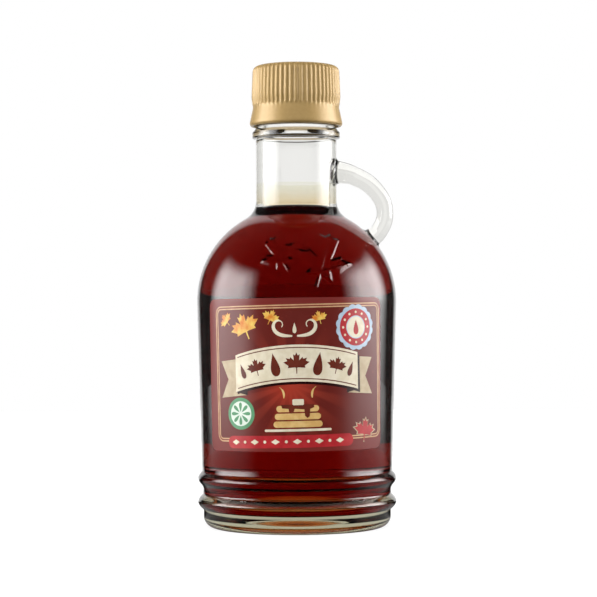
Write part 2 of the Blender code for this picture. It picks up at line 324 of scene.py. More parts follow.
def length(tree, vector):
    return add(tree, "ShaderNodeVectorMath", {0: vector}, operation="LENGTH").outputs["Value"]


def noise(tree, vector, scale, detail):
    inputs = {"Vector": vector, "Scale": scale, "Detail": detail}
    return add(tree, "ShaderNodeTexNoise", inputs).outputs["Fac"]


def axes_of(tree, vector):
    return add(tree, "ShaderNodeSeparateXYZ", {"Vector": vector}).outputs


def compass(tree, axes):
    """The direction's angle round Z from the front, and the same to both sides."""
    to_front = times(tree, axes["Y"], -1.0)
    return maths(tree, "DEGREES", maths(tree, "ARCTAN2", maths(tree, "ABSOLUTE", axes["X"]), to_front))


def placed(name, data):
    """A new object in the scene."""
    obj = bpy.data.objects.new(name, data)
    bpy.context.scene.collection.objects.link(obj)
    return obj


def studio_world():
    """A white backdrop, a tall softbox at each side, and a room: dark when mirrored, pale through glass."""
    world = bpy.data.worlds.new("studio")
    bpy.context.scene.world = world
    world.use_nodes = True
    tree = world.node_tree
    tree.nodes.clear()
    axes = axes_of(tree, coordinates(tree, "Generated"))
    azimuth = compass(tree, axes)
    elevation = maths(tree, "DEGREES", maths(tree, "ARCSINE", axes["Z"]))
    on_right = maths(tree, "GREATER_THAN", axes["X"], 0.0)

    left = times(tree, band(tree, azimuth, LEFT_SOFTBOX_DEG), inverse(tree, on_right))
    right = times(tree, band(tree, azimuth, RIGHT_SOFTBOX_DEG), on_right)
    height = band(tree, elevation, SOFTBOX_HEIGHT_DEG)
    softbox = times(tree, maths(tree, "ADD", left, right), height)
    below_top = inverse(tree, rise(tree, elevation, *BACKDROP_TOP_DEG))
    backdrop = times(tree, rise(tree, azimuth, *BACKDROP_SIDE_DEG), below_top)
    room = maths(tree, "MAXIMUM", times(tree, softbox, SOFTBOX_RADIANCE), backdrop)
    room = maths(tree, "MAXIMUM", room, ROOM_RADIANCE)

    off_middle = maths(tree, "DEGREES", maths(tree, "ARCCOSINE", axes["Y"]))
    straight_on = inverse(tree, rise(tree, off_middle, *MIDDLE_DEG))
    backdrop_tone = between(tree, straight_on, SIDE_THROUGH_GLASS, MIDDLE_THROUGH_GLASS)
    behind = times(tree, rise(tree, azimuth, *BEHIND_SIDE_DEG), backdrop_tone)
    through = maths(tree, "MAXIMUM", behind, ROOM_THROUGH_GLASS)

    path = add(tree, "ShaderNodeLightPath").outputs
    seen = between(tree, path["Is Transmission Ray"], room, through)
    seen = between(tree, path["Is Camera Ray"], seen, 1.0)
    background = add(tree, "ShaderNodeBackground", {"Color": WHITE, "Strength": seen})
    add(tree, "ShaderNodeOutputWorld", {"Surface": background.outputs[0]})


def studio_lights():
    """A broad soft light from the front. It is too wide to show as a reflection."""
    light = bpy.data.lights.new("front_fill", "SUN")
    light.energy = FILL_STRENGTH
    light.angle = math.radians(FILL_SOFTNESS_DEG)
    holder = placed("front_fill", light)
    holder.rotation_euler = (math.radians(90.0 - FILL_ELEVATION_DEG), 0.0, 0.0)
    holder.visible_glossy = False
    holder.visible_transmission = False


def floor_material():
    """White to the eye. The glass sees it lit only behind, beside and under the bottle."""
    mat = bpy.data.materials.new("pale_floor")
    mat.use_nodes = True
    tree = mat.node_tree
    tree.nodes.clear()
    place = coordinates(tree, "Object")
    azimuth = compass(tree, axes_of(tree, place))
    away = length(tree, place)
    under_foot = inverse(tree, rise(tree, away, *UNDER_FOOT))
    through_glass = maths(tree, "MAXIMUM", rise(tree, azimuth, *FLOOR_THROUGH_SIDE_DEG), under_foot)
    through_glass = maths(tree, "MAXIMUM", through_glass, FLOOR_THROUGH_GLASS)
    beside_glow = between(tree, rise(tree, away, *BESIDE_REACH), BESIDE_NEAR, BESIDE_FAR)
    beside = times(tree, band(tree, azimuth, BESIDE_SIDE_DEG), beside_glow)
    mirrored_floor = maths(tree, "MAXIMUM", rise(tree, azimuth, *FLOOR_MIRRORED_SIDE_DEG), beside)
    path = add(tree, "ShaderNodeLightPath").outputs
    lit = between(tree, path["Is Transmission Ray"], mirrored_floor, through_glass)
    lit = maths(tree, "MAXIMUM", lit, path["Is Camera Ray"])
    grey = mixed(tree, lit, FLOOR_DARK, FLOOR_PALE)
    glow_strength = times(tree, lit, FLOOR_GLOW)
    matt = add(tree, "ShaderNodeBsdfDiffuse", {"Color": grey}).outputs[0]
    glow = add(tree, "ShaderNodeEmission", {"Color": WHITE, "Strength": glow_strength}).outputs[0]
    both = add(tree, "ShaderNodeAddShader", {0: matt, 1: glow}).outputs[0]
    add(tree, "ShaderNodeOutputMaterial", {"Surface": both})
    return mat


def studio_floor():
    mesh = bpy.data.meshes.new("floor")
    work = bmesh.new()
    bmesh.ops.create_circle(work, cap_ends=True, segments=96, radius=FLOOR_RADIUS)
    work.to_mesh(mesh)
    work.free()
    floor = placed("floor", mesh)
    floor.location.z = -FLOOR_SINK
    mesh.materials.append(floor_material())


def studio_camera():
    data = bpy.data.cameras.new("camera")
    data.lens_unit = "FOV"
    data.angle = math.radians(CAMERA_FIELD_DEG)
    data.clip_start = 0.01
    camera = placed("camera", data)
    camera.location = CAMERA_PLACE
    camera.rotation_euler = (math.radians(90.0 + CAMERA_PITCH_DEG), math.radians(CAMERA_ROLL_DEG), 0.0)
    bpy.context.scene.camera = camera
    bpy.context.scene.view_settings.view_transform = "Standard"


def principled(name, inputs):
    """A material with one Principled shader. Its tree and shader are given back for more nodes."""
    mat = bpy.data.materials.new(name)
    mat.use_nodes = True
    tree = mat.node_tree
    shader = tree.nodes["Principled BSDF"]
    for socket, value in inputs.items():
        shader.inputs[socket].default_value = value
    return mat, tree, shader


def clear_body(name, ior, absorbed, density):
    """A clear medium with plain absorption. Where glass and syrup touch it bends light but has no gloss."""
    inputs = {"Base Color": WHITE, "Transmission Weight": 1.0, "Roughness": 0.0, "IOR": ior}
    mat, tree, shader = principled(name, inputs)
    touching = add(tree, "ShaderNodeAttribute", attribute_name="touching").outputs["Fac"]
    tree.links.new(mixed(tree, touching, WHITE, BLACK), shader.inputs["Specular Tint"])
    volume = add(tree, "ShaderNodeVolumeAbsorption", {"Color": absorbed, "Density": density})
    tree.links.new(volume.outputs[0], tree.nodes["Material Output"].inputs["Volume"])
    return mat


def clear_glass():
    """Clear glass, stippled under the push-up, with a painted reflection of the cap's gold on the cone."""
    mat = clear_body("clear_glass", GLASS_IOR, GLASS_COLOUR, GLASS_DENSITY)
    tree = mat.node_tree
    shader = tree.nodes["Principled BSDF"]
    place = coordinates(tree, "Object")
    z = axes_of(tree, place)["Z"]

    low = inverse(tree, rise(tree, z, PUSH_UP_HEIGHT, PUSH_UP_HEIGHT + 0.3 * MM))
    inner = inverse(tree, rise(tree, length(tree, place), RING_INNER_R, RING_INNER_R + 1.0 * MM))
    stipple = times(tree, times(tree, low, inner), STIPPLE_ROUGHNESS)
    tree.links.new(stipple, shader.inputs["Roughness"])

    # Painted reflection: the cone under the cap is coloured gold as if it mirrored the cap
    level = add(tree, "ShaderNodeVectorMath", {0: place, 1: (1.0, 1.0, 0.0)}, operation="MULTIPLY").outputs[0]
    outside = rise(tree, length(tree, level), FINISH_R - 0.4 * MM, FINISH_R - 0.2 * MM)
    cone_foot = (BEAD_Z - 0.1 * MM, BEAD_Z + 0.4 * MM)
    cone_head = (BEAD_HEAD_Z - 1.3 * MM, BEAD_HEAD_Z - 0.8 * MM)
    painted_reflection_zone = times(tree, band(tree, z, (cone_foot, cone_head)), outside)
    tree.links.new(mixed(tree, painted_reflection_zone, WHITE, CAP_REFLECTION_PAINT), shader.inputs["Base Color"])
    return mat


def wet_band_material():
    """The thin syrup left on the glass above the level, paler towards its uneven top."""
    inputs = {"Transmission Weight": 1.0, "Roughness": 0.0, "IOR": SYRUP_IOR, "Specular Tint": BLACK}
    mat, tree, shader = principled("wet_band", inputs)
    place = coordinates(tree, "Object")
    height = rise(tree, axes_of(tree, place)["Z"], LEVEL_Z + CLIMB, WET_TOP_Z)
    uneven = maths(tree, "SUBTRACT", noise(tree, place, 220.0, 2.0), 0.5)
    height = maths(tree, "ADD", height, times(tree, uneven, 0.35))
    tree.links.new(mixed(tree, height, WET_LOW_COLOUR, WET_HIGH_COLOUR), shader.inputs["Base Color"])
    return mat


def gold_material():
    """Satin gold lacquer: a duller ground under a clear coat, with a fine grain."""
    inputs = {"Metallic": 0.3, "Roughness": 0.5, "Coat Weight": 0.34, "Coat Roughness": 0.22}
    mat, tree, shader = principled("gold_metal", inputs)
    grain = noise(tree, coordinates(tree, "Object"), 900.0, 3.0)
    tree.links.new(mixed(tree, grain, GOLD_DARK, GOLD_PALE), shader.inputs["Base Color"])
    bump = add(tree, "ShaderNodeBump", {"Height": grain, "Strength": 0.12, "Distance": 0.05 * MM})
    tree.links.new(bump.outputs[0], shader.inputs["Normal"])
    return mat


def film_material(name, centre, dark, pale, glow):
    """A printed field: rays from a centre, which glows, over a darker ground with fine specks."""
    mat, tree, shader = principled(name, {"Roughness": 0.22, "IOR": FILM_IOR})
    uv = coordinates(tree, "UV")
    middle = (centre[0] * MM, centre[1] * MM, 0.0)
    away = add(tree, "ShaderNodeVectorMath", {0: uv, 1: middle}, operation="SUBTRACT").outputs[0]
    axes = axes_of(tree, away)
    distance = length(tree, away)
    angle = maths(tree, "ARCTAN2", axes["Y"], axes["X"])
    ray = rise(tree, maths(tree, "SINE", times(tree, angle, RAY_COUNT)), -0.5, 0.7)
    near = inverse(tree, rise(tree, distance, 2.0 * MM, 26.0 * MM))
    hot = inverse(tree, rise(tree, distance, 0.0, 13.0 * MM))
    ground = mixed(tree, times(tree, ray, near), dark, pale)
    ground = mixed(tree, hot, ground, glow)
    worn = rise(tree, noise(tree, uv, 700.0, 2.0), 0.64, 0.78)
    ground = mixed(tree, times(tree, worn, 0.35), ground, pale)
    tree.links.new(ground, shader.inputs["Base Color"])
    return mat


def ink(name, first, second=None):
    """A printed colour, slightly uneven as print is."""
    mat, tree, shader = principled(name, {"Roughness": 0.25, "IOR": FILM_IOR})
    if second is None:
        second = tuple(min(1.0, part * 1.12) for part in first[:3]) + (1.0,)
    uneven = rise(tree, noise(tree, coordinates(tree, "Object"), 350.0, 3.0), 0.3, 0.7)
    tree.links.new(mixed(tree, uneven, first, second), shader.inputs["Base Color"])
    return mat


def arc(centre, radius, start_deg, end_deg, steps):
    """Points along a round, as radius and height."""
    points = []
    for step in range(steps + 1):
        angle = math.radians(start_deg + (end_deg - start_deg) * step / steps)
        points.append((centre[0] + radius * math.cos(angle), centre[1] + radius * math.sin(angle)))
    return points


def straight(start, end, step):
    """Points from start up to, but not with, end."""
    count = max(1, round(math.dist(start, end) / step))
    return [tuple(a + (b - a) * i / count for a, b in zip(start, end)) for i in range(count)]


def body_radius(z):
    """The tapered wall between the upper rib and the shoulder."""
    share = (z - BODY_FOOT_Z) / (SHOULDER_Z - BODY_FOOT_Z)
    return BODY_FOOT_R + (BODY_R - BODY_FOOT_R) * max(0.0, min(1.0, share))


def rib(centre_z, wall_r):
    """A rounded rib that stands out of the wall, from its lower side up."""
    points = []
    for step in range(1, RIB_STEPS):
        share = -1.0 + 2.0 * step / RIB_STEPS
        height = math.cos(share * math.pi / 2)
        points.append((wall_r + (RIB_R - wall_r) * height, centre_z + share * RIB_HALF_HEIGHT))
    return points


def shoulder(inset, ball_steps, fillet_steps):
    """The shoulder's round from the widest circle up, then the hollow round into the neck."""
    centre = (BODY_R - SHOULDER_R, SHOULDER_Z)
    ball_r = SHOULDER_R - inset
    neck_r = NECK_R if inset == 0 else BORE_R - (inset - WALL)
    fillet_r = NECK_FILLET_R + inset
    fillet_x = neck_r + fillet_r
    reach = ball_r + fillet_r
    lift = math.sqrt(reach ** 2 - (fillet_x - centre[0]) ** 2)
    fillet_centre = (fillet_x, centre[1] + lift)
    meet_deg = math.degrees(math.atan2(lift, fillet_x - centre[0]))
    points = arc(centre, ball_r, 0.0, meet_deg, ball_steps)
    points += arc(fillet_centre, fillet_r, 180.0 + meet_deg, 180.0, fillet_steps)[1:]
    return points


def outer_wall():
    """The glass outside, from the middle of the push-up to the top of the lip."""
    points = []
    for step in range(PUSH_UP_STEPS):
        share = step / PUSH_UP_STEPS
        height = math.cos(math.pi / 2 * share) ** PUSH_UP_FULLNESS
        points.append((RING_INNER_R * share, PUSH_UP_HEIGHT * height))
    points += [(RING_INNER_R, 0.0)]
    points += arc((HEEL_R - HEEL_ROUND_R, HEEL_ROUND_R), HEEL_ROUND_R, -90.0, 0.0, 12)
    heel_top = (HEEL_R, LOWER_RIB_Z - RIB_HALF_HEIGHT)
    points += straight((HEEL_R, HEEL_ROUND_R + FINE_STEP), heel_top, FINE_STEP)
    points += [heel_top]
    points += rib(LOWER_RIB_Z, WAIST_R)
    waist_foot = (WAIST_R, LOWER_RIB_Z + RIB_HALF_HEIGHT)
    points += straight(waist_foot, (WAIST_R, UPPER_RIB_Z - RIB_HALF_HEIGHT), FINE_STEP)
    points += rib(UPPER_RIB_Z, (BODY_FOOT_R + WAIST_R) / 2)
    points += straight((BODY_FOOT_R, BODY_FOOT_Z), (BODY_R, SHOULDER_Z), 2.5 * MM)
    points += shoulder(0.0, SHOULDER_STEPS, 18)
    top = points.pop()
    points += straight(top, (NECK_R, BEAD_FOOT_Z - 0.3 * MM), 1.5 * MM)
    points += bead()
    points += straight((FINISH_R, BEAD_HEAD_Z + 0.2 * MM), (FINISH_R, MOUTH_Z - LIP_ROUND), 3.0 * MM)
    points += arc((FINISH_R - LIP_ROUND, MOUTH_Z - LIP_ROUND), LIP_ROUND, 0.0, 90.0, 4)
    return points


def bead():
    """The ring under the cap: a tight round below and a blunt cone up to the mouth's wall."""
    foot = (BEAD_R - BEAD_ROUND_R, BEAD_FOOT_Z + BEAD_ROUND_R)
    head = (BEAD_R - 0.5 * MM, BEAD_Z + 0.65 * MM)
    points = [(NECK_R, BEAD_FOOT_Z - 0.3 * MM), (NECK_R + 0.1 * MM, BEAD_FOOT_Z - 0.05 * MM)]
    points += arc(foot, BEAD_ROUND_R, -88.0, 0.0, 8)
    points += arc(head, 0.5 * MM, 0.0, 45.0, 4)
    last = points.pop()
    points += straight(last, (FINISH_R, BEAD_HEAD_Z), 0.5 * MM)
    points += [(FINISH_R, BEAD_HEAD_Z)]
    return points


def inner_wall(inset, top):
    """The inside of the glass, or the syrup's side, from the middle of the floor up to a height."""
    extra = inset - WALL
    round_r = FLOOR_ROUND_R - extra
    flat_r = body_radius(FLOOR_Z) - inset - round_r
    floor_z = FLOOR_Z + extra
    points = []
    for step in range(FLOOR_STEPS + 1):
        share = step / FLOOR_STEPS
        points.append((flat_r * share, floor_z + FLOOR_DOME * math.cos(math.pi / 2 * share)))
    points += arc((flat_r, floor_z + round_r), round_r, -90.0, 0.0, 10)[1:]
    start = points.pop()
    wall_foot = (BODY_FOOT_R - inset, BODY_FOOT_Z)
    points += straight(start, wall_foot, 3.0 * MM)
    points += straight(wall_foot, (BODY_R - inset, SHOULDER_Z), 6.0 * MM)
    points += [point for point in shoulder(inset, 26, 16) if point[1] < top - 0.1 * MM]
    if points[-1][1] < top - 1.0 * MM:
        last = points.pop()
        points += straight(last, (BORE_R - extra, top), 2.5 * MM)
    return points


def glass_columns():
    """The angles of the glass's columns, from the front: close together where the leaves are."""
    low, high = LEAF_SIDE_DEG
    leaves = np.arange(low, high, LEAF_COLUMN_DEG)
    rest = np.arange(high, low + 360.0, GLASS_COLUMN_DEG)
    return np.radians(np.concatenate([leaves, rest]) - 90.0)


def plain_columns():
    return np.radians(np.arange(0.0, 360.0, COLUMN_DEG))


def corners(mesh):
    """The places of the mesh's corners, one row each."""
    co = np.zeros(len(mesh.vertices) * 3)
    mesh.vertices.foreach_get("co", co)
    return co.reshape(-1, 3)


def move_corners(mesh, co):
    mesh.vertices.foreach_set("co", co.ravel())
    mesh.update()


def mark_touching(obj, test):
    """Notes on each corner of the mesh whether glass and syrup touch there."""
    co = corners(obj.data)
    values = test(np.hypot(co[:, 0], co[:, 1]), co[:, 2])
    mark = obj.data.attributes.new("touching", "FLOAT", "POINT")
    mark.data.foreach_set("value", values.astype(np.float32))


def turned(name, rows, angles, ring=False):
    """A closed mesh turned about the axis. Its rows run from pole to pole, or once round a ring's section."""
    count = len(angles)
    points = []
    starts = []
    for r, z in rows:
        starts.append((len(points), r <= 0.0))
        if r <= 0.0:
            points.append((0.0, 0.0, z))
        else:
            points += [(r * c, r * s, z) for c, s in zip(np.cos(angles).tolist(), np.sin(angles).tolist())]
    following = starts[1:] + starts[:1] if ring else starts[1:]
    faces = []
    for (low, low_pole), (high, high_pole) in zip(starts, following):
        for j in range(count):
            k = (j + 1) % count
            if low_pole:
                faces.append((low, high + k, high + j))
            elif high_pole:
                faces.append((low + j, low + k, high))
            else:
                faces.append((low + j, low + k, high + k, high + j))
    mesh = bpy.data.meshes.new(name)
    mesh.from_pydata(points, [], faces)
    mesh.polygons.foreach_set("use_smooth", [True] * len(faces))
    mesh.update()
    return placed(name, mesh)


def mirrored(half):
    """A leaf's whole outline, of which the right half is given."""
    return list(half) + [(-x, y) for x, y in reversed(half[1:])]


def edge_distance(places, outline):
    """How far inside a closed outline each place is. Outside it is negative."""
    best = np.full(len(places), np.inf)
    inside = np.zeros(len(places), bool)
    for start, end in zip(outline, outline[1:] + outline[:1]):
        a, b = np.array(start), np.array(end)
        along = np.clip(((places - a) @ (b - a)) / ((b - a) @ (b - a)), 0.0, 1.0)
        best = np.minimum(best, np.hypot(*(places - a - along[:, None] * (b - a)).T))
        crosses = (a[1] > places[:, 1]) != (b[1] > places[:, 1])
        rise_by = b[1] - a[1] if b[1] != a[1] else 1.0
        inside ^= crosses & (places[:, 0] < a[0] + (places[:, 1] - a[1]) / rise_by * (b[0] - a[0]))
    return np.where(inside, best, -best)


def smooth_step(value, low, high):
    share = np.clip((value - low) / (high - low), 0.0, 1.0)
    return share * share * (3.0 - 2.0 * share)


def leaf_height(leaf, x, z):
    """How far a moulded leaf stands out at each place: a plateau with rounded edges and low veins."""
    lean = math.radians(leaf["lean"])
    size = leaf["size"]
    x = x - leaf["x"]
    z = z - leaf["z"]
    across = (x * math.cos(lean) + z * math.sin(lean)) / size
    up = (-x * math.sin(lean) + z * math.cos(lean)) / size
    places = np.stack([across, up], axis=1)
    plateau = smooth_step(edge_distance(places, mirrored(LEAF_HALF)) * size, -LEAF_EDGE, LEAF_EDGE)
    vein = np.zeros(len(places))
    heart = np.array(LEAF_HEART)
    for tip in LEAF_VEINS:
        way = np.array(tip) - heart
        along = np.clip(((places - heart) @ way) / (way @ way), 0.0, 1.0)
        off = np.hypot(*(places - heart - along[:, None] * way).T) * size
        vein = np.maximum(vein, 1.0 - smooth_step(off, 0.0, VEIN_HALF_WIDTH))
    return plateau * (LEAF_RELIEF + VEIN_RELIEF * vein)


def raise_leaves(obj):
    """Pushes the moulded leaves out of the shoulder's front, square to its round."""
    co = corners(obj.data)
    centre_r = BODY_R - SHOULDER_R
    radius = np.hypot(co[:, 0], co[:, 1])
    on_ball = np.hypot(radius - centre_r, co[:, 2] - SHOULDER_Z) > SHOULDER_R - 0.2 * MM
    chosen = (co[:, 1] < 0) & on_ball & (co[:, 2] > LEAF_LOW_Z) & (co[:, 2] < LEAF_HIGH_Z)
    index = np.nonzero(chosen)[0]
    height = np.zeros(len(index))
    for leaf in MOULDED_LEAVES:
        height = np.maximum(height, leaf_height(leaf, co[index, 0], co[index, 2]))
    slope = np.arctan2(co[index, 2] - SHOULDER_Z, radius[index] - centre_r)
    normal = co[index] / radius[index][:, None] * np.cos(slope)[:, None]
    normal[:, 2] = np.sin(slope)
    co[index] += normal * height[:, None]
    move_corners(obj.data, co)


def outer_radius(z, wall):
    """The glass's outer radius at each height, read off its own profile."""
    heights = np.array([point[1] for point in wall])
    radii = np.array([point[0] for point in wall])
    order = np.argsort(heights, kind="stable")
    return np.interp(z, heights[order], radii[order])


def evaluated_mesh(obj):
    bpy.context.view_layer.update()
    return bpy.data.meshes.new_from_object(obj.evaluated_get(bpy.context.evaluated_depsgraph_get()))


def handle_rod(wall):
    """The loop handle, flared where it runs into the neck and the shoulder."""
    curve = bpy.data.curves.new("handle_line", "CURVE")
    curve.dimensions = "3D"
    curve.bevel_depth = 1.0 * MM
    curve.bevel_resolution = 12
    curve.resolution_u = 24
    curve.use_fill_caps = True
    spline = curve.splines.new("BEZIER")
    spline.bezier_points.add(len(HANDLE_LINE) - 1)
    for point, (x, z, radius) in zip(spline.bezier_points, HANDLE_LINE):
        point.co = (x * MM, 0.0, z * MM)
        point.radius = radius
        point.handle_left_type = "AUTO"
        point.handle_right_type = "AUTO"
    line = placed("handle_line", curve)
    line.scale = (1.0, HANDLE_DEPTH, 1.0)
    mesh = evaluated_mesh(line)
    mesh.transform(line.matrix_world)
    bpy.data.objects.remove(line)
    work = bmesh.new()
    work.from_mesh(mesh)
    bmesh.ops.remove_doubles(work, verts=work.verts, dist=0.00001)
    bmesh.ops.recalc_face_normals(work, faces=work.faces)
    work.normal_update()
    for vert in work.verts:
        r = math.hypot(vert.co.x, vert.co.y)
        away = r - float(outer_radius(vert.co.z, wall))
        short = min(HANDLE_FILLET_R, max(0.0, HANDLE_FILLET_R - away))
        spread = HANDLE_FILLET_R - math.sqrt(HANDLE_FILLET_R ** 2 - short ** 2)
        inside = min(1.0, max(0.0, 1.0 + away / (0.5 * WALL)))
        vert.co += vert.normal * spread * inside
    work.to_mesh(mesh)
    work.free()
    return placed("handle_rod", mesh)


def applied(obj):
    """Gives the object its evaluated mesh, and drops the modifiers."""
    mesh = evaluated_mesh(obj)
    obj.modifiers.clear()
    obj.data = mesh


def bottle_glass():
    """The bottle: outside, lip and inside in one closed surface, joined with its handle."""
    outside = outer_wall()
    inside = inner_wall(WALL, MOUTH_Z - LIP_ROUND)
    rows = outside + [(BORE_R + LIP_ROUND, MOUTH_Z)] + inside[::-1]
    glass = turned("glass_bottle", rows, glass_columns())
    raise_leaves(glass)
    glass.data.materials.append(clear_glass())
    rod = handle_rod(outside)
    rod.data.materials.append(glass.data.materials[0])
    union = glass.modifiers.new("handle", "BOOLEAN")
    union.operation = "UNION"
    union.solver = "MANIFOLD"
    union.object = rod
    applied(glass)
    bpy.data.objects.remove(rod)
    glass.data.shade_smooth()
    glass.data.set_sharp_from_angle(angle=math.radians(55.0))

    def wetted(radius, z):
        inside_wall = radius < outer_radius(z, outside) - WALL / 3
        return inside_wall & (z > FLOOR_Z / 2) & (z < LEVEL_Z + CLIMB + 0.1 * MM)

    mark_touching(glass, wetted)
    return glass


def syrup_body():
    """The syrup: a little way into the glass at its side, and climbing the glass at its level."""
    inset = WALL - REACH_IN_GLASS
    top = LEVEL_Z + CLIMB
    side = [point for point in inner_wall(inset, MOUTH_Z - LIP_ROUND) if point[1] < top - 0.2 * MM]
    wall_r = float(np.interp(top, *zip(*[(z, r) for r, z in inner_wall(inset, MOUTH_Z)[-40:]])))
    surface = []
    for step in range(SURFACE_STEPS + 1):
        r = wall_r * (1.0 - (step / SURFACE_STEPS) ** 1.6)
        surface.append((r, LEVEL_Z + CLIMB * math.exp(-(wall_r - r) / CLIMB_WIDTH)))
    syrup = turned("syrup_body", side + surface, plain_columns())
    syrup.data.materials.append(clear_body("dark_syrup", SYRUP_IOR, SYRUP_COLOUR, SYRUP_DENSITY))
    syrup.data.set_sharp_from_angle(angle=math.radians(50.0))

    def against_wall(radius, z):
        on_surface = (z > LEVEL_Z - 0.1 * MM) & (radius < wall_r - 0.1 * MM)
        return ~on_surface

    mark_touching(syrup, against_wall)
    return syrup


def wet_band():
    """A thin sleeve of syrup on the bore above the level, which thins out to nothing."""
    outer_foot = (BORE_R + REACH_IN_GLASS, LEVEL_Z + CLIMB + 0.15 * MM)
    inner_foot = (BORE_R - WET_THICKNESS, LEVEL_Z + CLIMB + 0.15 * MM)
    outer_top = (BORE_R + WET_LIFT, WET_TOP_Z)
    inner_top = (BORE_R - WET_LIFT, WET_TOP_Z)
    section = straight(outer_foot, outer_top, 1.0 * MM) + [outer_top]
    section += straight(inner_top, inner_foot, 1.0 * MM) + [inner_foot]
    sleeve = turned("wet_band", section, plain_columns(), ring=True)
    sleeve.data.set_sharp_from_angle(angle=math.radians(40.0))
    sleeve.data.materials.append(wet_band_material())
    return sleeve


def cap_rows():
    """The cap's section from the middle of its roof's underside to the middle of its top.

    Each point is given with the share of the flutes' depth that it takes.
    """
    rows = []

    def extend(points, share=0.0):
        rows.extend((point, share) for point in points)

    roof_z = CAP_TOP_Z - CAP_ROOF
    foot_r = CAP_BAND_FOOT_R
    extend([(0.0, roof_z), (CAP_BORE_R - 1.0 * MM, roof_z), (CAP_BORE_R, roof_z - 1.0 * MM)])
    extend([(CAP_BORE_R, CAP_BOTTOM_Z + 1.0 * MM), (CAP_BORE_R + 0.3 * MM, CAP_BOTTOM_Z)])
    extend([(foot_r - 0.7 * MM, CAP_BOTTOM_Z), (foot_r - 0.45 * MM, CAP_BOTTOM_Z + 0.08 * MM)])
    foot_centre = (foot_r - CAP_FOOT_ROUND, CAP_BOTTOM_Z + CAP_FOOT_ROUND)
    extend(arc(foot_centre, CAP_FOOT_ROUND, -55.0, 0.0, 6))
    band_foot = (foot_r - 0.01 * MM, CAP_BOTTOM_Z + 1.4 * MM)
    extend(straight(band_foot, (CAP_GROOVE_R, CAP_BAND_Z), FINE_STEP)[:-1])
    extend([(CAP_GROOVE_R + 0.06 * MM, CAP_BAND_Z - 0.3 * MM)], FLUTE_IN_BAND)
    extend([(CAP_GROOVE_R, CAP_BAND_Z + 0.2 * MM)], 2.0 * FLUTE_IN_BAND)
    extend([(CAP_GROOVE_R, FLUTE_FOOT_Z - 0.1 * MM)], 2.0 * FLUTE_IN_BAND)
    extend([(CAP_GROOVE_R + 0.1 * MM, FLUTE_FOOT_Z + 0.05 * MM)], 0.7)
    flute_foot = (CAP_GROOVE_R + 0.15 * MM, FLUTE_FOOT_Z + 0.3 * MM)
    wall_top = CAP_TOP_Z - CAP_EDGE_ROUND
    extend(straight(flute_foot, (CAP_WIDE_R, CAP_WIDE_Z), 0.8 * MM), 1.0)
    extend(straight((CAP_WIDE_R, CAP_WIDE_Z), (CAP_TOP_R, wall_top), 1.0 * MM), 1.0)
    edge = arc((CAP_TOP_R - CAP_EDGE_ROUND, wall_top), CAP_EDGE_ROUND, 0.0, 90.0, CAP_EDGE_STEPS)
    for number, point in enumerate(edge):
        extend([point], 1.0 - (number / CAP_EDGE_STEPS) ** 2)
    extend([(CAP_TOP_R * share, CAP_TOP_Z - CAP_DISH * (1.0 - share ** 2)) for share in (0.8, 0.6, 0.3)])
    extend([(0.0, CAP_TOP_Z - CAP_DISH)])
    return rows


def screw_cap():
    """The cap: bore, lip, smooth lower band, fluted wall, rounded edge and top."""
    rows = cap_rows()
    count = FLUTE_COUNT * FLUTE_COLUMNS
    angles = np.arange(count) * 2.0 * math.pi / count
    cap = turned("gold_cap", [point for point, share in rows], angles)
    groove = 1.0 - (0.5 + 0.5 * np.cos(FLUTE_COUNT * angles)) ** 0.8
    co = corners(cap.data)
    start = 0
    for (r, z), share in rows:
        size = count if r > 0.0 else 1
        if share > 0.0:
            co[start:start + size, :2] *= (1.0 - FLUTE_DEPTH * share * groove / r)[:, None]
        start += size
    move_corners(cap.data, co)
    cap.data.set_sharp_from_angle(angle=math.radians(50.0))
    cap.data.materials.append(gold_material())
    return cap


def rounded_box(left, bottom, right, top, radius, steps=6):
    """The outline of a box with round corners."""
    points = []
    corners = ((right, bottom, -90.0), (right, top, 0.0), (left, top, 90.0), (left, bottom, 180.0))
    for x, y, start in corners:
        centre = (x - radius if x == right else x + radius, y + radius if y == bottom else y - radius)
        points += arc(centre, radius, start, start + 90.0, steps)
    return points


def filled(name, loops):
    """A flat mesh that fills closed outlines. An outline within another is a hole."""
    curve = bpy.data.curves.new(name, "CURVE")
    curve.dimensions = "2D"
    curve.fill_mode = "BOTH"
    for loop in loops:
        spline = curve.splines.new("POLY")
        spline.points.add(len(loop) - 1)
        for point, (u, v) in zip(spline.points, loop):
            point.co = (u, v, 0.0, 1.0)
        spline.use_cyclic_u = True
    flat = placed(name, curve)
    mesh = evaluated_mesh(flat)
    bpy.data.objects.remove(flat)
    return mesh


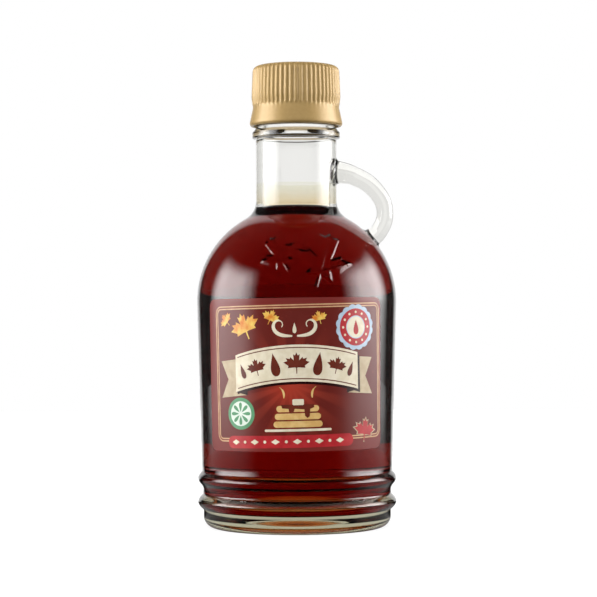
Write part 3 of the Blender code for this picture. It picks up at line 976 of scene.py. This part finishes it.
def wrapped(name, loops, lift, thickness, mat, middle_deg=-90.0):
    """Fills flat outlines, bends them round the body, and gives them a thickness.

    The outlines are in the label's own plane: distance from its middle line, and height.
    """
    mesh = filled(name, loops)
    work = bmesh.new()
    work.from_mesh(mesh)
    bmesh.ops.remove_doubles(work, verts=work.verts, dist=0.000001)
    low = min(vert.co.x for vert in work.verts)
    high = max(vert.co.x for vert in work.verts)
    cut = math.ceil(low / WRAP_STEP) * WRAP_STEP
    while cut < high:
        everything = work.verts[:] + work.edges[:] + work.faces[:]
        bmesh.ops.bisect_plane(work, geom=everything, plane_co=(cut, 0, 0), plane_no=(1, 0, 0), dist=1e-7)
        cut += WRAP_STEP
    uv = work.loops.layers.uv.verify()
    for face in work.faces:
        if face.normal.z < 0:
            face.normal_flip()
        for loop in face.loops:
            loop[uv].uv = (loop.vert.co.x, loop.vert.co.y)
    for vert in work.verts:
        u, z = vert.co.x, vert.co.y
        r = body_radius(z) + lift
        angle = math.radians(middle_deg) + u / r
        vert.co = (r * math.cos(angle), r * math.sin(angle), z)
    work.to_mesh(mesh)
    work.free()
    mesh.materials.clear()
    mesh.materials.append(mat)
    mesh.shade_smooth()
    obj = placed(name, mesh)
    thicken = obj.modifiers.new("thickness", "SOLIDIFY")
    thicken.thickness = thickness
    thicken.offset = 1.0
    thicken.use_rim = True
    applied(obj)
    obj.data.set_sharp_from_angle(angle=math.radians(40.0))
    return obj


def keep(piece, slot, *nodes):
    """Every piece rides on the one body, and the nodes that it replaces are hidden. The slot is not used."""
    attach(piece, "root")
    if nodes:
        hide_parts(*nodes)
    return piece


def shown(red, green, blue):
    """An ink that looks so, in 0 to 255, under the front light."""
    def plain(value):
        share = value / 255.0
        return (share / 12.92 if share <= 0.04045 else ((share + 0.055) / 1.055) ** 2.4) / PAPER_LIGHT
    return (plain(red), plain(green), plain(blue), 1.0)


def moved(points, centre, size=1.0, lean_deg=0.0):
    """An outline made larger, turned, and put in its place on the print."""
    c = math.cos(math.radians(lean_deg))
    s = math.sin(math.radians(lean_deg))
    return [(centre[0] + size * (x * c - y * s), centre[1] + size * (x * s + y * c)) for x, y in points]


def disc(centre, radius, steps=48):
    return arc(centre, radius, 0.0, 360.0 - 360.0 / steps, steps - 1)


def round_place(centre, radius, angle_deg):
    """The point of a round at an angle."""
    angle = math.radians(angle_deg)
    return (centre[0] + radius * math.cos(angle), centre[1] + radius * math.sin(angle))


def print_leaf(centre, size, lean_deg=0.0):
    """A printed maple leaf."""
    return moved(mirrored(PRINT_LEAF_HALF), centre, size, lean_deg)


def drop(centre, width, height, lean_deg=0.0):
    """A syrup drop, its point up."""
    points = []
    for step in range(28):
        a = 2.0 * math.pi * step / 28
        points.append((0.5 * width * math.sin(a) * abs(math.sin(a / 2)) ** 1.6, 0.5 * height * math.cos(a)))
    return moved(points, centre, 1.0, lean_deg)


def curl(start, heading_deg, length_mm, turn_deg, tightening, width, steps=26):
    """A flourish: a tapering stroke which turns more and more as it runs."""
    x, y = start
    one, other = [], []
    for step in range(steps + 1):
        share = step / steps
        heading = math.radians(heading_deg + turn_deg * share ** tightening)
        swell = math.sin(math.pi * min(1.0, share * 1.15 + 0.05)) ** 0.8
        half = 0.5 * width * (0.25 + 0.75 * swell)
        one.append((x - half * math.sin(heading), y + half * math.cos(heading)))
        other.append((x + half * math.sin(heading), y - half * math.cos(heading)))
        x += math.cos(heading) * length_mm / steps
        y += math.sin(heading) * length_mm / steps
    return one + other[::-1]


def tilted(points, tilt_deg):
    """An outline in millimetres, turned about the label's middle, in metres."""
    turned = moved([(x, y - PRINT_MIDDLE_Z) for x, y in points], (0.0, PRINT_MIDDLE_Z), 1.0, tilt_deg)
    return [(x * MM, y * MM) for x, y in turned]


def printed(name, loops, layer, mat, tilt_deg=FRONT_PRINT_TILT_DEG, middle_deg=-90.0, slot="front_print"):
    """Ink on a film. A higher layer lies over a lower one."""
    loops = [tilted(loop, tilt_deg) for loop in loops]
    lift = FILM_LIFT + FILM_THICKNESS - INK_ROOT
    piece = wrapped(name, loops, lift, INK_ROOT + INK_STEP * layer, mat, middle_deg)
    return keep(piece, slot)


def inset_box(box, inset):
    """The outline of a frame, an inset within its outer edge."""
    left, bottom, right, top = box
    return rounded_box(left + inset, bottom + inset, right - inset, top - inset, FRAME_CORNER_R - inset)


def ribbon_height(u):
    return RIBBON_Z + RIBBON_RISE * (1.0 - (u / RIBBON_HALF_WIDTH) ** 2)


def ribbon_strip(left, right, low, high, steps=24):
    """A strip that follows the ribbon's curve, between two heights off its middle."""
    across = [left + (right - left) * step / steps for step in range(steps + 1)]
    lower = [(u, ribbon_height(u) + low) for u in across]
    upper = [(u, ribbon_height(u) + high) for u in reversed(across)]
    return lower + upper


def on_side(points, side):
    """An outline on the right as it is, or mirrored to the left."""
    return [(side * u, z) for u, z in (points if side > 0 else points[::-1])]


def ribbon_tail(side):
    """The ribbon's folded end, with a notch, on one side."""
    low = RIBBON_Z - RIBBON_HALF_HEIGHT - TAIL_DROP
    high = low + 2.0 * RIBBON_HALF_HEIGHT
    points = [(TAIL_ROOT, low + 0.9), (TAIL_TIP, low), (TAIL_TIP - TAIL_NOTCH, (low + high) / 2)]
    points += [(TAIL_TIP, high), (TAIL_ROOT, high + 0.9)]
    return on_side(points, side)


def ribbon_fold(side):
    """The ribbon's dark underside where it folds back."""
    low = RIBBON_Z - RIBBON_HALF_HEIGHT
    return on_side([(TAIL_ROOT, low - 1.05), (RIBBON_HALF_WIDTH, low + 0.02), (TAIL_ROOT, low + 1.2)], side)


def label_edge(half_deg):
    half = math.radians(half_deg) * BODY_R / MM
    return rounded_box(-half, LABEL_BOTTOM_Z / MM, half, LABEL_TOP_Z / MM, LABEL_CORNER_R / MM)


def front_ground(gold):
    """The front film with its border, and on it the dark field with rays and the frame of two lines."""
    border_inks = (shown(122, 46, 42), shown(128, 50, 46), shown(128, 48, 44))
    border = film_material("front_print", FILM_CENTRE, *border_inks)
    edge = tilted(label_edge(FRONT_LABEL_HALF_DEG), FRONT_FILM_TILT_DEG)
    film = wrapped("label_film", [edge], FILM_LIFT, FILM_THICKNESS, border, FRONT_LABEL_MIDDLE_DEG)
    keep(film, "front_print", "front_label")
    field_inks = (shown(104, 37, 31), shown(140, 54, 42), shown(172, 60, 43))
    field = film_material("dark_field", RAY_CENTRE, *field_inks)
    second = FRAME_LINE + FRAME_GAP
    printed("label_field", [inset_box(FRAME_BOX, second + FRAME_LINE)], 1, field)
    insets = (0.0, FRAME_LINE, second, second + FRAME_LINE)
    printed("label_frame", [inset_box(FRAME_BOX, inset) for inset in insets], 2, gold)


def ribbon(cream, folded, shade, brown):
    """A ribbon with its shade on the field, its folded ends, and leaves and drops between two lines."""
    high = RIBBON_HALF_HEIGHT
    wide = RIBBON_HALF_WIDTH
    printed("ribbon_shade", [ribbon_strip(-wide + 0.5, wide + 0.9, -high - 0.9, high - 0.9)], 3, shade)
    printed("ribbon_tails", [ribbon_tail(1), ribbon_tail(-1)], 2, folded)
    printed("ribbon_folds", [ribbon_fold(1), ribbon_fold(-1)], 4, shade)
    printed("ribbon", [ribbon_strip(-wide, wide, -high, high)], 5, cream)
    line_foot, line_head = high - 1.15, high - 0.8
    marks = [ribbon_strip(-wide + 0.8, wide - 0.8, line_foot, line_head)]
    marks += [ribbon_strip(-wide + 0.8, wide - 0.8, -line_head, -line_foot)]
    marks += [print_leaf((0.0, ribbon_height(0.0) - 1.0), 4.6)]
    for side in (1, -1):
        lean = side * -10.0
        marks += [drop((side * 7.4, ribbon_height(7.4)), 4.6, 8.0, lean)]
        marks += [print_leaf((side * 13.7, ribbon_height(13.7) - 0.7), 3.8, 1.4 * lean)]
        marks += [drop((side * 19.1, ribbon_height(19.1)), 2.6, 5.2, 2.0 * lean)]
    printed("ribbon_marks", marks, 6, brown)


def leaves_and_flourish(leaf_gold, cream):
    """Gold leaves, and two curls round a drop, over the ribbon."""
    leaves = [print_leaf((-17.6, 69.6), 6.0, 22.0), print_leaf((-25.6, 72.6), 3.2, 44.0)]
    leaves += [print_leaf((-8.6, 73.0), 3.4, -24.0), print_leaf((8.2, 72.6), 3.0, 14.0)]
    printed("gold_leaves", leaves, 3, leaf_gold)
    curls = [curl((-1.2, 67.2), 178.0, 14.0, -330.0, 2.2, 1.25)]
    curls += [curl((0.4, 67.2), 2.0, 14.0, 330.0, 2.2, 1.25)]
    printed("flourish", curls, 4, cream)
    printed("flourish_drop", [drop((-0.4, 69.9), 1.9, 3.6)], 5, cream)


def rosette(blue, red, cream):
    """A scalloped rosette: a ring with dots, and a drop in its middle."""
    place = (21.6, 69.6)
    steps = 128
    edge = []
    for step in range(steps):
        angle_deg = 360.0 * step / steps
        scallop = abs(math.sin(8.0 * math.radians(angle_deg)))
        edge.append(round_place(place, 7.3 + 0.5 * scallop, angle_deg))
    printed("rosette_edge", [edge], 3, blue)
    printed("rosette_ring", [disc(place, 6.3), disc(place, 3.9)], 4, red)
    printed("rosette_middle", [disc(place, 3.6)], 4, cream)
    beads = [disc(round_place(place, 5.1, angle_deg), 0.42, 12) for angle_deg in range(0, 360, 30)]
    printed("rosette_beads", beads, 5, cream)
    printed("rosette_drop", [drop(place, 3.0, 5.0)], 5, red)


def pancakes(syrup_gold, cream, brown):
    """A stack of three pancakes on a plate, with syrup, butter and steam."""
    cakes = []
    for z, width in ((37.6, 16.6), (40.2, 15.6), (42.8, 14.4)):
        cakes += [rounded_box(-width / 2, z - 1.05, width / 2, z + 1.05, 1.04)]
    printed("pancakes", cakes, 3, syrup_gold)
    printed("plate", [rounded_box(-11.4, 35.2, 11.4, 36.0, 0.39)], 3, cream)
    pour = [(-5.6, 44.2), (5.4, 44.2), (5.6, 43.2), (4.2, 42.6), (4.0, 40.2), (3.2, 39.6), (2.4, 40.4)]
    pour += [(2.2, 42.5), (-1.0, 42.8), (-1.4, 41.6), (-2.2, 41.2), (-2.9, 41.8), (-3.1, 42.8), (-5.2, 43.0)]
    printed("pour", [pour], 4, brown)
    printed("butter", [rounded_box(-1.7, 44.0, 2.1, 46.0, 0.4)], 5, cream)
    steam = [curl((-4.6, 46.4), 80.0, 4.2, 70.0, 1.2, 0.7), curl((5.0, 46.4), 100.0, 4.2, -70.0, 1.2, 0.7)]
    printed("steam", steam, 4, syrup_gold)


def wheel(green, pale):
    """A round mark with eight spokes."""
    place = (-20.4, 41.4)
    printed("wheel_edge", [disc(place, 5.4)], 3, green)
    printed("wheel_middle", [disc(place, 4.2)], 4, pale)
    spokes = []
    for angle_deg in range(0, 360, 45):
        spokes += [drop(round_place(place, 2.15, angle_deg), 1.7, 3.3, angle_deg + 90.0)]
    printed("wheel_spokes", spokes, 5, green)


def red_band(red, cream, folded):
    """A red band with a row of lozenges and dots, and a red leaf at its end."""
    middle_z = 31.8
    printed("red_band", [rounded_box(-25.9, 29.7, 19.6, 33.9, 2.0)], 3, red)
    marks = []
    for step in range(11):
        u = -22.6 + 3.7 * step
        if step % 2:
            marks += [disc((u, middle_z), 0.5, 16)]
        else:
            marks += [[(u - 1.5, middle_z), (u, middle_z - 0.9), (u + 1.5, middle_z), (u, middle_z + 0.9)]]
    printed("band_marks", marks, 4, cream)
    printed("band_leaf_edge", [print_leaf((24.6, 33.6), 5.6, -8.0)], 4, folded)
    printed("band_leaf", [print_leaf((24.6, 33.7), 4.9, -8.0)], 5, red)


def front_label():
    """The front film and its print: a dark field in a gold frame, a ribbon and small motifs."""
    cream = ink("cream_ink", shown(226, 214, 186), shown(240, 231, 208))
    brown = ink("brown_ink", shown(96, 40, 30), shown(112, 48, 34))
    shade = ink("shade_ink", shown(44, 14, 12))
    gold = ink("gold_ink", shown(196, 152, 112), shown(216, 176, 134))
    syrup_gold = ink("syrup_gold_ink", shown(214, 172, 104), shown(232, 198, 132))
    red = ink("red_ink", shown(172, 40, 46), shown(190, 50, 54))
    leaf_gold = ink("leaf_ink", shown(222, 128, 48), shown(240, 208, 104))
    green = ink("green_ink", shown(84, 146, 104), shown(98, 160, 116))
    pale = ink("pale_ink", shown(216, 230, 216), shown(232, 240, 230))
    blue = ink("blue_ink", shown(176, 196, 216), shown(196, 212, 228))
    folded = ink("folded_ink", shown(184, 164, 132), shown(200, 182, 150))
    front_ground(gold)
    ribbon(cream, folded, shade, brown)
    leaves_and_flourish(leaf_gold, cream)
    rosette(blue, red, cream)
    pancakes(syrup_gold, cream, brown)
    wheel(green, pale)
    red_band(red, cream, folded)


def back_label():
    """The back film: a plain brown label with a gold frame, a cream panel, one leaf and a red band."""
    ground_inks = (shown(92, 40, 34), shown(104, 46, 38), shown(108, 48, 40))
    ground = film_material("back_print", FILM_CENTRE, *ground_inks)
    edge = tilted(label_edge(BACK_LABEL_HALF_DEG), 0.0)
    film = wrapped("back_film", [edge], FILM_LIFT, FILM_THICKNESS, ground, BACK_LABEL_MIDDLE_DEG)
    keep(film, "back_print", "back_label")
    cream = ink("back_cream", shown(226, 214, 186), shown(236, 226, 202))
    gold = ink("back_gold", shown(196, 152, 112), shown(216, 176, 134))
    brown = ink("back_brown", shown(104, 44, 32))
    red = ink("back_red", shown(172, 40, 46))
    where = {"tilt_deg": 0.0, "middle_deg": BACK_LABEL_MIDDLE_DEG, "slot": "back_print"}
    frame = [inset_box(BACK_FRAME_BOX, inset) for inset in (0.0, FRAME_LINE)]
    printed("back_frame", frame, 1, gold, **where)
    printed("back_panel", [rounded_box(-20.0, 39.0, 20.0, 66.0, 2.0)], 1, cream, **where)
    printed("back_leaf", [print_leaf((0.0, 51.0), 8.0)], 2, brown, **where)
    printed("back_band", [rounded_box(-22.0, 70.0, 22.0, 74.0, 1.9)], 1, red, **where)


studio_camera()
studio_world()
studio_lights()
studio_floor()
keep(bottle_glass(), "clear_glass", "bottle_glass")
keep(syrup_body(), "dark_syrup", "syrup")
keep(wet_band(), "dark_syrup")
keep(screw_cap(), "gold_metal", "screw_cap")
front_label()
back_label()
